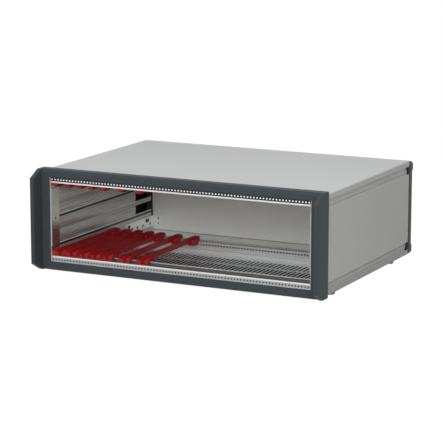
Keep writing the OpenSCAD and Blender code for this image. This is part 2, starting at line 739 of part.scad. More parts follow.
// Rear frame: a ring behind a shadow gap, with an inner lip that carries the rear panel
module rear_frame() color([0.16, 0.17, 0.17]) difference() {
    union() {
        along_y(y_back, rear_gap_w + eps) round_rect(
            [-body_half + rear_gap_d, z_bottom + rear_gap_d],
            [body_half - rear_gap_d, rear_top - rear_gap_d], rear_corner_r - rear_gap_d);
        along_y(y_back + rear_gap_w, rear_frame_d - rear_gap_w)
            round_rect([-body_half, z_bottom], [body_half, rear_top], rear_corner_r);
        box([-plate_out, y_back - rear_lip_d, z_floor], [plate_out, y_back + eps, z_roof]);
    }
    box([-plate_out + rear_lip_w, y_back - rear_lip_d - eps, z_floor + rear_lip_w],
        [plate_out - rear_lip_w, y_rear + eps, rear_roof - rear_lip_w]);
    box([-plate_out + rear_rim_w, y_back, z_floor + rear_rim_w],
        [plate_out - rear_rim_w, y_rear + eps, rear_roof - rear_rim_w]);
    for (side = SIDES) on_side(side) for (level = LEVELS) at_level(level)
        rod_y(fixing_x, y_back - eps, fixing_z, fixing_shank_r + hole_clear, rear_frame_d + 2 * eps);
    for (spot = rear_screw_spots())
        rod_y(spot[0], y_back - rear_lip_d - eps, spot[1], small_r + hole_clear, rear_lip_d + 2 * eps);
}
function rear_screw_spots() = [
    for (x = [-1, 0, 1] * (plate_out - 2 * bracket_foot))
        for (z = [z_floor + rear_screw_in, rear_roof - rear_screw_in]) [x, z]];

module rear_panel() color([0.74, 0.74, 0.73]) difference() {
    box([-plate_out, y_panel, z_floor + panel_gap],
        [plate_out, y_panel + rear_panel_t, z_roof - panel_gap]);
    for (spot = rear_screw_spots())
        rod_y(spot[0], y_panel - eps, spot[1], small_r + hole_clear, rear_panel_t + 2 * eps);
}

// Rear pad: a round-cornered buffer over each screw of the rear frame
module rear_pad(side, level) color([0.20, 0.21, 0.21]) on_side(side) at_level(level) difference() {
    low = z_bottom + (level == "upper" ? rear_drop : 0);
    along_y(y_rear, pad_d)
        round_rect([body_half - pad_w, low], [body_half, low + pad_h], pad_r);
    rod_y(fixing_x, y_rear - eps, fixing_z, fixing_head_r + hole_clear, fixing_head_h + hole_clear);
}

// End clip: a wedge that closes the sloped band at the back of a corner profile
module end_clip(side, level) color([0.06, 0.06, 0.06]) on_side(side) at_level(level)
    along_y(y_back - clip_len, clip_len) translate([plate_out, z_floor]) {
        face = body_half + clip_proud - plate_out;
        start = band_start + slide_clear;
        polygon([
            [band_low + band_slope() * slide_clear, start], [face, start], [face, start + clip_h],
            [seam_out, start + clip_h], [seam_out, profile_h]]);
    }
function band_slope() = (seam_out - band_low) / (profile_h - band_start);

// Foot: a turned buffer with a recess for its screw
module foot(side, end) color([0.05, 0.05, 0.05]) on_side(side)
    translate([foot_x, end == "front" ? foot_ys()[0] : foot_ys()[1], 0]) rotate_extrude() polygon([
        [fixing_shank_r + hole_clear, foot_h], [foot_r, foot_h], [foot_r, foot_h - foot_edge],
        [foot_r - foot_taper, foot_edge], [foot_r - foot_taper - foot_edge, 0], [foot_recess(), 0],
        [foot_recess(), foot_h - foot_web], [fixing_shank_r + hole_clear, foot_h - foot_web]]);
function foot_recess() = fixing_head_r + 2 * hole_clear;
function foot_ys() = [y_body + foot_front, y_back - foot_rear];

// Fasteners
module csk_screw(length) {
    csk_cone(0, 0);
    translate([0, 0, -plate_t / 2 - length]) cylinder(r = small_r, h = length + eps);
}

module rail_screws() color([0.70, 0.70, 0.72]) for (side = SIDES) on_side(side)
    for (level = LEVELS) at_level(level) for (y = rail_screw_ys)
        translate([cage_half + plate_t / 2, y, rail_screw_z]) rotate([0, 90, 0])
            csk_screw(rail_screw_len);

module plate_screws() color([0.70, 0.70, 0.72]) for (side = SIDES) on_side(side)
    for (level = LEVELS) at_level(level) for (y = plate_screw_ys)
        translate([cage_half + plate_t / 2, y, plate_screw_z]) rotate([0, -90, 0])
            csk_screw(plate_screw_len);

module bracket_rivets() color([0.80, 0.80, 0.80]) for (side = SIDES) on_side(side)
    for (spot = bracket_rivet_spots()) {
        rod_x(cage_half - bracket_t, spot[0], spot[1], small_r, bracket_t + plate_t);
        rod_x(cage_half - bracket_t - rivet_head_h, spot[0], spot[1], small_head_r, rivet_head_h);
        rod_x(plate_out, spot[0], spot[1], small_head_r, rivet_head_h);
    }

module rear_frame_screws() color([0.30, 0.30, 0.31]) for (side = SIDES) on_side(side)
    for (level = LEVELS) at_level(level) {
        rod_y(fixing_x, y_back - fixing_len, fixing_z, fixing_shank_r, fixing_len + rear_frame_d + eps);
        rod_y(fixing_x, y_rear, fixing_z, fixing_head_r, fixing_head_h);
    }

module rear_panel_screws() color([0.30, 0.30, 0.31]) for (spot = rear_screw_spots()) {
    rod_y(spot[0], y_panel, spot[1], small_r, rear_panel_t + rear_lip_d + eps);
    rod_y(spot[0], y_back, spot[1], small_head_r, small_head_h);
}

module foot_screws() color([0.30, 0.30, 0.31]) for (side = SIDES) on_side(side)
    for (y = foot_ys()) translate([foot_x, y, foot_h - foot_web]) {
        translate([0, 0, -eps])
            cylinder(r = fixing_shank_r, h = eps + foot_web + sheet_t + profile_wall + foot_screw_over);
        translate([0, 0, -fixing_head_h]) cylinder(r = fixing_head_r, h = fixing_head_h);
    }

front_bezel();
rear_frame();
rear_panel();
top_cover();
base_plate();
for (side = SIDES) {
    side_panel(side);
    side_plate(side);
    rear_bracket(side);
    for (level = LEVELS) {
        corner_profile(side, level);
        end_clip(side, level);
        rear_pad(side, level);
    }
    for (end = ENDS) foot(side, end);
}
for (level = LEVELS) {
    front_rail(level);
    rear_rail(level);
    threaded_strip(level);
    for (i = [1:guide_count]) card_guide(i, level);
}
rail_screws();
plate_screws();
bracket_rivets();
rear_frame_screws();
rear_panel_screws();
foot_screws();
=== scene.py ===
"""Looks of the rack mount case: finishes, softened edges, small hardware and a plain studio."""
import math

import bmesh
import bpy
from mathutils import Matrix, Vector


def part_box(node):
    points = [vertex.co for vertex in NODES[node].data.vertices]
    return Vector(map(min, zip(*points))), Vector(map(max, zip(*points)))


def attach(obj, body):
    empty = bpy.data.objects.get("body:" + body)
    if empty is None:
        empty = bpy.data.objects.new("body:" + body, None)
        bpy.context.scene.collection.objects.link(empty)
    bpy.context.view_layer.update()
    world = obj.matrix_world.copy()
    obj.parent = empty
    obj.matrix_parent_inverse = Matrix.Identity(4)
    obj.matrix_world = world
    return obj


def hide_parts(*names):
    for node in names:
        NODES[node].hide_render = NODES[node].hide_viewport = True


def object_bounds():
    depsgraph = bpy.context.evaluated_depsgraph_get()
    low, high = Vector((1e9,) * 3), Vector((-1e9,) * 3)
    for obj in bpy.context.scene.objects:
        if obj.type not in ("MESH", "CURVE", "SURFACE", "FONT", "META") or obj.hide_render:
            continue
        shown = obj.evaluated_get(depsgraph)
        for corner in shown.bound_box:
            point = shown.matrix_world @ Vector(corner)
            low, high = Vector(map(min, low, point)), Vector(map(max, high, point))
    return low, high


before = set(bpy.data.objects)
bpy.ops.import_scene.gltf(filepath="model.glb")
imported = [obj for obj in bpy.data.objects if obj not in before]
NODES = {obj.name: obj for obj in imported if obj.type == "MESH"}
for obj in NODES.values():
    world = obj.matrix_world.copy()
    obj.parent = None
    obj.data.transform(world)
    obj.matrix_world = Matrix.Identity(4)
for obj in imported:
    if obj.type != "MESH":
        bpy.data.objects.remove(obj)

bl_info = {
    "name": "Rack Mount Case",
    "version": (1, 0, 0),
    "blender": (4, 5, 0),
    "location": "View3D > Sidebar > Case",
    "description": "Finishes, edges and small hardware of a rack mount case for plug-in boards",
    "category": "Object",
}

MM = 0.001
CAD_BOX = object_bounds()
SIDES = ("left", "right")
LEVELS = ("lower", "upper")
ENDS = ("front", "rear")
BOTH_WAYS = (-1, 1)                 # left and right of the middle
GUIDES = range(1, 1 + sum(name.startswith("lower_guide_") for name in NODES))
CARD_PITCH = 5.08 * MM

# Meshes
MERGE = 0.001 * MM                  # points closer than this are one
FLAT_ANGLE = math.radians(0.4)      # faces that differ less are one flat face
SHARP_ANGLE = math.radians(28.0)    # edges that turn more are rounded
SMOOTH_ANGLE = math.radians(38.0)   # edges that turn less are shaded smooth

# Kinds of surface: name, grain per metre along X, Y and Z, mottling per metre, least and most roughness
SURFACES = {
    "paint": ("Fine Texture Paint", (1400.0,) * 3, 6.0, (0.42, 0.58)),
    "metal": ("Brushed Metal", (6.0, 2200.0, 2200.0), 9.0, (0.22, 0.38)),
    "bright": ("Bright Metal", (700.0,) * 3, 9.0, (0.14, 0.24)),
    "satin": ("Satin Metal", (1400.0,) * 3, 6.0, (0.42, 0.58)),
    "plastic": ("Moulded Plastic", (700.0,) * 3, 14.0, (0.34, 0.50)),
}
LENGTHWISE = (2200.0, 5.0, 2200.0)  # grain that runs from front to rear
EVEN_GRAIN = (900.0,) * 3
GRAIN_DETAIL = 3.0
GRAIN_ROUGHNESS = 0.6
MOTTLE_DETAIL = 2.0
MOTTLE_SHARE = 0.35
NOISE_MIDDLE = 0.5
NOISE_LOW, NOISE_HIGH = 0.3, 0.7

# Values that several finishes share
SHEET_PAINT = {"contrast": 0.05, "bump": 0.25, "relief": 0.03, "Specular_IOR_Level": 0.15}
CAST_PAINT = {"contrast": 0.25, "relief": 0.04, "Specular_IOR_Level": 0.12}
MOULDED = {"contrast": 0.3, "bump": 0.3}
ROLLED = {"contrast": 0.2, "bump": 0.06}
EXTRUDED = {"contrast": 0.15, "bump": 0.06}
DARK_STEEL = {"contrast": 0.3, "Metallic": 0.3}

# Cover and base
PAINTED = 0.8 * MM                  # depth of the painted outside
BARE_HALF = 230.0 * MM              # half the width of the bare inside
SLOT_WALLS = (0.1 * MM, 1.4 * MM)   # height of the painted shade on the vent slots' walls, from the underside

# Side plates and the dark strips that paint the shade in their joints
PLATE_STRIP = 22.0 * MM             # depth of the bright front strip, from the rail's nose
SKIN = 0.3 * MM                     # depth that counts as a plate's or panel's front face
FIRST_JOINT = 14.5 * MM             # from the top of the lower rail
BOARD = 44.0 * MM                   # from joint to joint
BEADED_JOINTS = 2
BEAD_HIGHLIGHT = (0.7 * MM, 2.4 * MM)         # painted highlight on the bead, from the middle of the joint
JOINT_SHADE = (-2.4 * MM, 0.7 * MM)      # painted shade round the joint's groove, from the middle of the joint
SHADED_JOINTS = 3
SHADE_STRIP_OUT = 0.55 * MM                # middle of a dark strip, beyond the end of the rail
SHADE_STRIP_HALF_THICK = 0.3 * MM
SHADE_STRIP_HALF_HIGH = 0.55 * MM
SHADE_STRIP_END_GAP = 0.1 * MM

# Rails and threaded strips
NOSE_FACE = 0.5 * MM                # depth of the bright face of a front rail's nose
RIDGE = 5.9 * MM                    # depth of the ridge at the back of a front rail, which has a painted highlight
DARK_NOSE = 0.4 * MM                # depth of the painted shade on the upper nose's face, from the strip's face
DARK_NOSE_BELOW = 0.2 * MM          # how far that painted shade goes below the strip
HOLE_ROW = (0.9 * MM, 5.4 * MM)     # painted shade in the rear rails' groove of holes, from their front
SOCKET_SET = 0.8 * MM               # middle of a socket, behind the strip's face
SOCKET_RADIUS = 1.5 * MM
SOCKET_LENGTH = 1.2 * MM
SOCKET_SIDES = 12

# Rear brackets
BRACKET_SHEET = 1.5 * MM
BRACKET_FOOT = 3.0 * MM             # depth of the foot against the rear panel
BACKING_MARGIN = 0.5 * MM           # the painted shade behind the brackets' holes stays this far inside
CLIP_PROUD = 0.25 * MM
# Clips in millimetres: from the rear end, up from the lower edge, depth and height
BRACKET_CLIPS = (
    (75.0, 6.9, 4.6, 2.6), (58.2, 6.4, 4.6, 2.6), (39.4, 5.9, 4.6, 2.6),
    (29.0, 13.0, 2.4, 6.0), (20.0, 12.6, 2.4, 6.0), (14.5, 5.0, 4.0, 3.0))

# Knob and arm beside a lower guide's nose: corners from the nose's right front foot, in millimetres
KNOB_LIFT = 0.1 * MM
KNOB = ((2.6, 3.2, 0.0), (9.2, 10.2, 6.2))
KNOB_ARM = ((-1.0, 4.5, 0.0), (3.2, 8.5, 3.4))

# Studio, in metres
FLOOR_HALF = 40.0
FLOOR_PALE = (0.5, 0.5, 0.5, 1.0)
FLOOR_SHADOWED = (0.05, 0.05, 0.05, 1.0)
FLOOR_GLOW = 0.985
WHITE = (1.0, 1.0, 1.0, 1.0)
# Where the floor's glow starts and is full, inwards from the case's edges; nearer the middle the floor has a
# painted shadow
GLOW_FADE = {"X": (30.0 * MM, 15.0 * MM), "Y": (60.0 * MM, 28.0 * MM)}
# Softboxes: place, target and length of a side
SOFTBOXES = {
    "key": ((0.1, -0.7, 1.55), (0.0, 0.0, 0.1), 1.4),
    "front": ((0.4, -2.2, 0.93), (0.0, 0.0, 0.08), 1.1),
    "side": ((1.5, -1.75, 0.75), (0.1, 0.0, 0.08), 1.0),
}
SENSOR = 36.0                       # width of the camera's sensor, in millimetres
VIEW_END = 100.0                    # how far the camera sees


# Values that a user may change

def colour(name, description, default):
    """A colour, scene linear."""
    return bpy.props.FloatVectorProperty(
        name=name, description=description, default=default, size=3, min=0.0, max=1.0, subtype="COLOR")


def length(name, description, default_mm):
    """A size, given in millimetres."""
    return bpy.props.FloatProperty(
        name=name, description=description, default=default_mm * MM, min=0.0, precision=5, unit="LENGTH")


def angle(name, description, degrees):
    """An angle, given in degrees."""
    return bpy.props.FloatProperty(
        name=name, description=description, default=math.radians(degrees), subtype="ANGLE")


def power(name, description, watts):
    """The power of a light."""
    return bpy.props.FloatProperty(
        name=name, description=description, default=watts, min=0.0, unit="POWER")


class CaseFinish(bpy.types.PropertyGroup):
    """Colours of the case's finishes and of the light and shade painted on it"""

    bezel: colour("Bezel", "Anthracite paint of the front bezel", (0.0445, 0.052, 0.057))
    rear: colour("Rear frame", "Paint of the rear frame", (0.085, 0.088, 0.087))
    cover: colour("Cover", "Light grey paint of the cover and base", (0.67, 0.68, 0.675))
    side: colour("Sides", "Paint of the outer side panels", (0.565, 0.57, 0.55))
    fold: colour("Base folds", "Paint of the base's folded edges", (0.42, 0.425, 0.41))
    profile: colour("Profiles", "Finish of the corner profiles", (0.51, 0.515, 0.505))
    flute: colour("Flutes", "Drawn aluminium of the fluted boards", (0.56, 0.56, 0.54))
    edge_strip: colour("Plate strip", "Bright front strips of the side plates", (0.82, 0.82, 0.79))
    panel: colour("Rear panel", "Aluminium of the rear panel", (0.835, 0.835, 0.80))
    floor: colour("Inner floor", "Bare inside of the cover and base", (0.53, 0.555, 0.57))
    rail: colour("Rails", "Aluminium of the rails", (0.70, 0.70, 0.69))
    # rail_shade: painted shade in the front rails' channels and in the rear rails' groove of holes
    rail_shade: colour("Rail channels", "Shaded metal in the rails' channels", (0.16, 0.155, 0.15))
    zinc: colour("Zinc", "Plating of the screws and sockets", (0.80, 0.80, 0.79))
    strip: colour("Lower strip", "Finish of the lower threaded strip", (0.355, 0.37, 0.36))
    # bracket also paints the highlights on the side plates' beads and on the front rails' ridges, and
    # lightens the floor behind the rear rail
    bracket: colour("Brackets", "Bright plating of the rear brackets", (0.97, 0.97, 0.95))
    # lining_and_shade: the dark inside of the side panels, and painted shade in the side plates' joints, on
    # the dark strips laid in them and behind the rear brackets
    lining_and_shade: colour("Lining", "Dark lining of the sides and seals of the joints", (0.010, 0.010, 0.010))
    # dark_steel_and_shade: painted shade on the upper threaded strip, the upper rail's nose and the vent
    # slots' walls; also the dark steel of the bracket rivets and clips
    dark_steel_and_shade: colour("Dark strip", "Finish of the upper threaded strip", (0.022, 0.025, 0.027))
    guide: colour("Guides", "Red plastic of the card guides", (0.35, 0.010, 0.013))
    black: colour("Black plastic", "Plastic of the rear pads", (0.012, 0.012, 0.013))
    rubber: colour("Rubber", "Rubber of the feet and plastic of the end clips", (0.012, 0.012, 0.012))


class CaseDetail(bpy.types.PropertyGroup):
    """Sizes of the details that the solids leave plain"""

    bezel_edge: length("Bezel edge", "Radius of the bezel's cast edges", 0.7)
    rear_edge: length("Rear frame edge", "Radius of the rear frame's edges", 0.6)
    pad_edge: length("Pad edge", "Radius of the rear pads' edges", 1.4)
    clip_edge: length("Clip edge", "Radius of the end clips' edges", 0.3)
    guide_edge: length("Guide edge", "Radius of the guides' moulded edges", 0.25)
    rail_edge: length("Rail edge", "Radius of the rails' extruded edges", 0.25)
    panel_edge: length("Panel edge", "Radius of the side panels' edges", 0.9)
    knob_edge: length("Knob edge", "Radius of the edges of the knobs beside the guides' noses", 0.6)
    foot_edge: length("Foot edge", "Radius of the feet's edges", 0.4)


class CaseStage(bpy.types.PropertyGroup):
    """Camera and studio"""

    azimuth: angle("Azimuth", "Camera's turn round the case", 26.36)
    elevation: angle("Elevation", "Camera's height angle", 11.27)
    roll: angle("Roll", "Camera's roll", 0.045)
    distance: bpy.props.FloatProperty(
        name="Distance", description="From the camera to its target", default=3.0524, unit="LENGTH")
    lens: bpy.props.FloatProperty(
        name="Lens", description="Focal length on a 36 mm sensor", default=161.1, unit="CAMERA")
    target: bpy.props.FloatVectorProperty(
        name="Target", description="Point that the camera looks at", default=(-0.0079, 0.0026, 0.0646),
        subtype="XYZ", unit="LENGTH")
    ambient: bpy.props.FloatProperty(
        name="Ambient", description="Strength of the studio's even light", default=0.28, min=0.0)
    key: power("Key", "Power of the overhead softbox", 7.5)
    front: power("Front", "Power of the softbox in front", 26.0)
    side: power("Side", "Power of the softbox at the right front", 11.0)


def settings():
    """The scene's three groups of values."""
    scene = bpy.context.scene
    return scene.case_finish, scene.case_detail, scene.case_stage


# Finishes

def add(tree, kind, inputs=None, **options):
    """A node with its options and its inputs, each a value or a socket to link from."""
    node = tree.nodes.new(kind)
    for key, value in options.items():
        setattr(node, key, value)
    for key, value in (inputs or {}).items():
        if isinstance(value, bpy.types.NodeSocket):
            tree.links.new(value, node.inputs[key])
        else:
            node.inputs[key].default_value = value
    return node


def maths(tree, operation, *values):
    """The result of a maths node on values or sockets."""
    return add(tree, "ShaderNodeMath", dict(enumerate(values)), operation=operation).outputs[0]


def new_group(name, inputs, outputs):
    """A shader group with named sockets, given as (name, kind, default) and (name, kind)."""
    tree = bpy.data.node_groups.new(name, "ShaderNodeTree")
    for label, kind, default in inputs:
        socket = tree.interface.new_socket(name=label, in_out="INPUT", socket_type="NodeSocket" + kind)
        socket.default_value = default
    for label, kind in outputs:
        tree.interface.new_socket(name=label, in_out="OUTPUT", socket_type="NodeSocket" + kind)
    return tree, tree.nodes.new("NodeGroupInput").outputs, tree.nodes.new("NodeGroupOutput").inputs


def surface_group(kind):
    """The group of a kind of surface, built at first use: fine grain over slow mottling in object space."""
    name, grain_scale, mottle_scale, (smooth, rough) = SURFACES[kind]
    if name in bpy.data.node_groups:
        return bpy.data.node_groups[name]
    tree, given, result = new_group(
        name,
        [("Color", "Color", WHITE), ("Grain", "Vector", grain_scale), ("Contrast", "Float", 0.1)],
        [("Color", "Color"), ("Roughness", "Float"), ("Height", "Float")])
    place = add(tree, "ShaderNodeTexCoord").outputs["Object"]
    stretched = add(tree, "ShaderNodeVectorMath", {0: place, 1: given["Grain"]}, operation="MULTIPLY")
    grain = add(tree, "ShaderNodeTexNoise", {
        "Vector": stretched.outputs[0], "Scale": 1.0, "Detail": GRAIN_DETAIL,
        "Roughness": GRAIN_ROUGHNESS}).outputs["Fac"]
    mottle = add(tree, "ShaderNodeTexNoise", {
        "Vector": place, "Scale": mottle_scale, "Detail": MOTTLE_DETAIL}).outputs["Fac"]
    both = add(tree, "ShaderNodeMix", {"Factor": MOTTLE_SHARE, "A": grain, "B": mottle}, data_type="FLOAT")
    swing = maths(tree, "SUBTRACT", both.outputs[0], NOISE_MIDDLE)
    gain = maths(tree, "MULTIPLY_ADD", swing, given["Contrast"], 1.0)
    tint = add(tree, "ShaderNodeVectorMath", {0: given["Color"], "Scale": gain}, operation="SCALE")
    dull = add(tree, "ShaderNodeMapRange", {
        "Value": grain, "From Min": NOISE_LOW, "From Max": NOISE_HIGH, "To Min": smooth, "To Max": rough})
    tree.links.new(tint.outputs[0], result["Color"])
    tree.links.new(dull.outputs[0], result["Roughness"])
    tree.links.new(grain, result["Height"])
    return tree


def material(name, kind, tint, grain=None, contrast=0.2, bump=0.1, relief=0.05, **shader):
    """A material of one kind of surface, with relief in millimetres and constants of its Principled BSDF."""
    made = bpy.data.materials.new(name)
    made.use_nodes = True
    tree = made.node_tree
    principled = tree.nodes["Principled BSDF"]
    given = {"Color": (*tint, 1.0), "Contrast": contrast}
    if grain:
        given["Grain"] = grain
    surface = add(tree, "ShaderNodeGroup", given, node_tree=surface_group(kind)).outputs
    raised = add(tree, "ShaderNodeBump", {
        "Strength": bump, "Distance": relief * MM, "Height": surface["Height"]})
    tree.links.new(surface["Color"], principled.inputs["Base Color"])
    tree.links.new(surface["Roughness"], principled.inputs["Roughness"])
    tree.links.new(raised.outputs["Normal"], principled.inputs["Normal"])
    for key, value in shader.items():
        principled.inputs[key.replace("_", " ")].default_value = value
    return made


def zone(tree, limits):
    """1 where all limits hold, each (axis, "<" or ">", value) in object space; |X| is the way to a side."""
    place = add(tree, "ShaderNodeTexCoord").outputs["Object"]
    axes = add(tree, "ShaderNodeSeparateXYZ", {0: place}).outputs
    places = {"|X|": maths(tree, "ABSOLUTE", axes["X"]), "Y": axes["Y"], "Z": axes["Z"]}
    mask = None
    for axis, way, value in limits:
        inside = maths(tree, "LESS_THAN" if way == "<" else "GREATER_THAN", places[axis], value)
        mask = inside if mask is None else maths(tree, "MULTIPLY", mask, inside)
    return mask


def band(axis, start, ends):
    """Two limits that keep a zone between two distances from a start."""
    near, far = ends
    return ((axis, ">", start + near), (axis, "<", start + far))


def second_finish(made, kind, tint, limits, contrast=0.25, metallic=0.0):
    """Changes a material to another finish inside a zone, such as bare metal inside a painted sheet."""
    tree = made.node_tree
    principled = tree.nodes["Principled BSDF"]
    mask = zone(tree, limits)
    other = add(tree, "ShaderNodeGroup", {
        "Color": (*tint, 1.0), "Contrast": contrast}, node_tree=surface_group(kind))
    shine = principled.inputs["Metallic"]
    before = shine.links[0].from_socket if shine.is_linked else shine.default_value
    mixed = add(tree, "ShaderNodeMapRange", {"Value": mask, "To Min": before, "To Max": metallic})
    tree.links.new(mixed.outputs[0], shine)
    for socket, data_type, label in (("Base Color", "RGBA", "Color"), ("Roughness", "FLOAT", "Roughness")):
        mixed = add(tree, "ShaderNodeMix", {"Factor": mask}, data_type=data_type)
        start, end = [way for way in mixed.inputs if way.name in ("A", "B") and way.enabled]
        result = next(way for way in mixed.outputs if way.enabled)
        tree.links.new(principled.inputs[socket].links[0].from_socket, start)
        tree.links.new(other.outputs[label], end)
        tree.links.new(result, principled.inputs[socket])


def dress(names, made):
    """Gives solids a finish."""
    for name in names:
        slots = NODES[name].data.materials
        slots.clear()
        slots.append(made)


# Meshes

def block(bm, low, high):
    """Adds a plain block between two corners."""
    size = Matrix.Diagonal((*(high - low), 1.0))
    bmesh.ops.create_cube(bm, size=1.0, matrix=Matrix.Translation((low + high) / 2) @ size)


def round_edges(bm, edges, radius, segments=2):
    """Rounds some edges of a bmesh."""
    bmesh.ops.bevel(
        bm, geom=edges, offset=radius, offset_type="OFFSET", segments=segments, profile=0.5,
        affect="EDGES", clamp_overlap=True, material=-1)


def put_in_scene(name, data):
    """An object for a mesh, a light or a camera, linked to the scene."""
    made = bpy.data.objects.new(name, data)
    bpy.context.scene.collection.objects.link(made)
    return made


def piece_from(bm, name, made, replaces=()):
    """Finishes a bmesh as a piece of the case."""
    mesh = bpy.data.meshes.new(name)
    for face in bm.faces:
        face.smooth = True
    bm.to_mesh(mesh)
    bm.free()
    mesh.set_sharp_from_angle(angle=SMOOTH_ANGLE)
    mesh.materials.append(made)
    piece = put_in_scene(name, mesh)
    weights = piece.modifiers.new("Face weights", "WEIGHTED_NORMAL")
    weights.keep_sharp = True
    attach(piece, "root")
    if replaces:
        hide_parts(*replaces)


def softened(node, name, made, radius, segments=2):
    """Adds a copy of a solid with its sharp edges rounded, which stands for that solid."""
    bm = bmesh.new()
    bm.from_mesh(NODES[node].data)
    bmesh.ops.remove_doubles(bm, verts=bm.verts, dist=MERGE)
    bmesh.ops.dissolve_limit(
        bm, angle_limit=FLAT_ANGLE, verts=bm.verts, edges=bm.edges, delimit=set(),
        use_dissolve_boundaries=False)
    edges = [edge for edge in bm.edges if edge.is_manifold and edge.calc_face_angle() > SHARP_ANGLE]
    round_edges(bm, edges, radius, segments)
    bmesh.ops.remove_doubles(bm, verts=bm.verts, dist=MERGE)
    bmesh.ops.dissolve_degenerate(bm, dist=MERGE, edges=bm.edges)
    piece_from(bm, name, made, [node])


# Studio

def aimed(place, towards):
    """A placement whose minus Z looks along a direction."""
    return Matrix.Translation(place) @ towards.to_track_quat("-Z", "Y").to_matrix().to_4x4()


def seen_rays(tree):
    """1 on rays from the camera and on mirrored or transmitted ones, which should show the white studio."""
    light = add(tree, "ShaderNodeLightPath").outputs
    either = maths(tree, "MAXIMUM", light["Is Camera Ray"], light["Is Glossy Ray"])
    return maths(tree, "MAXIMUM", either, light["Is Transmission Ray"])


def clear_of_case(tree):
    """Glow of the floor: none under the case, which paints a dark shadow there, and full beside it."""
    place = add(tree, "ShaderNodeTexCoord").outputs["Object"]
    size = add(tree, "ShaderNodeVectorMath", {0: place}, operation="ABSOLUTE")
    axes = add(tree, "ShaderNodeSeparateXYZ", {0: size.outputs[0]}).outputs
    _, high = CAD_BOX
    glows = []
    for (axis, (dark, white)), edge in zip(GLOW_FADE.items(), high):
        fade = add(tree, "ShaderNodeMapRange", {
            "Value": axes[axis], "From Min": edge - dark, "From Max": edge - white,
            "To Min": 0.0, "To Max": FLOOR_GLOW})
        glows.append(fade.outputs[0])
    return maths(tree, "MAXIMUM", *glows)


def pale_floor():
    """A wide floor that shows white, keeps the case's soft shadow with a painted shadow under the case, and
    is clear from below.
    """
    bm = bmesh.new()
    bmesh.ops.create_grid(bm, x_segments=1, y_segments=1, size=FLOOR_HALF)
    mesh = bpy.data.meshes.new("studio_floor")
    bm.to_mesh(mesh)
    bm.free()
    floor = put_in_scene("studio_floor", mesh)
    made = bpy.data.materials.new("studio_floor")
    made.use_nodes = True
    tree = made.node_tree
    tree.nodes.clear()
    plain = add(tree, "ShaderNodeBsdfDiffuse", {"Color": FLOOR_PALE})
    shadowed = add(tree, "ShaderNodeBsdfDiffuse", {"Color": FLOOR_SHADOWED})
    glow = add(tree, "ShaderNodeEmission", {"Strength": clear_of_case(tree)})
    white = add(tree, "ShaderNodeAddShader", {0: shadowed.outputs[0], 1: glow.outputs[0]})
    surface = add(tree, "ShaderNodeMixShader", {
        0: seen_rays(tree), 1: plain.outputs[0], 2: white.outputs[0]})
    clear = add(tree, "ShaderNodeBsdfTransparent")
    below = add(tree, "ShaderNodeNewGeometry").outputs["Backfacing"]
    one_sided = add(tree, "ShaderNodeMixShader", {0: below, 1: surface.outputs[0], 2: clear.outputs[0]})
    add(tree, "ShaderNodeOutputMaterial", {"Surface": one_sided.outputs[0]})
    mesh.materials.append(made)


def even_light(strength):
    """A white studio all round, at a given strength where it lights the case."""
    world = bpy.data.worlds.new("studio")
    bpy.context.scene.world = world
    world.use_nodes = True
    tree = world.node_tree
    tree.nodes.clear()
    ambient = add(tree, "ShaderNodeBackground", {"Color": WHITE, "Strength": strength})
    white = add(tree, "ShaderNodeBackground", {"Color": WHITE, "Strength": 1.0})
    sky = add(tree, "ShaderNodeMixShader", {
        0: seen_rays(tree), 1: ambient.outputs[0], 2: white.outputs[0]})
    add(tree, "ShaderNodeOutputWorld", {"Surface": sky.outputs[0]})


def softbox(name, watts, place, target, size):
    """A square area light that looks at a point."""
    data = bpy.data.lights.new(name, "AREA")
    data.energy = watts
    data.size = size
    lamp = put_in_scene(name, data)
    lamp.matrix_world = aimed(place, Vector(target) - Vector(place))


# Operators

class CASE_OT_bezel(bpy.types.Operator):
    """Anthracite front bezel with cast, rounded edges"""

    bl_idname = "case.bezel"
    bl_label = "Front bezel"

    def execute(self, context):
        finish, detail, _ = settings()
        paint = material("bezel_paint", "paint", finish.bezel, bump=0.35, **CAST_PAINT)
        softened("front_bezel", "bezel_casting", paint, detail.bezel_edge, segments=3)
        return {"FINISHED"}


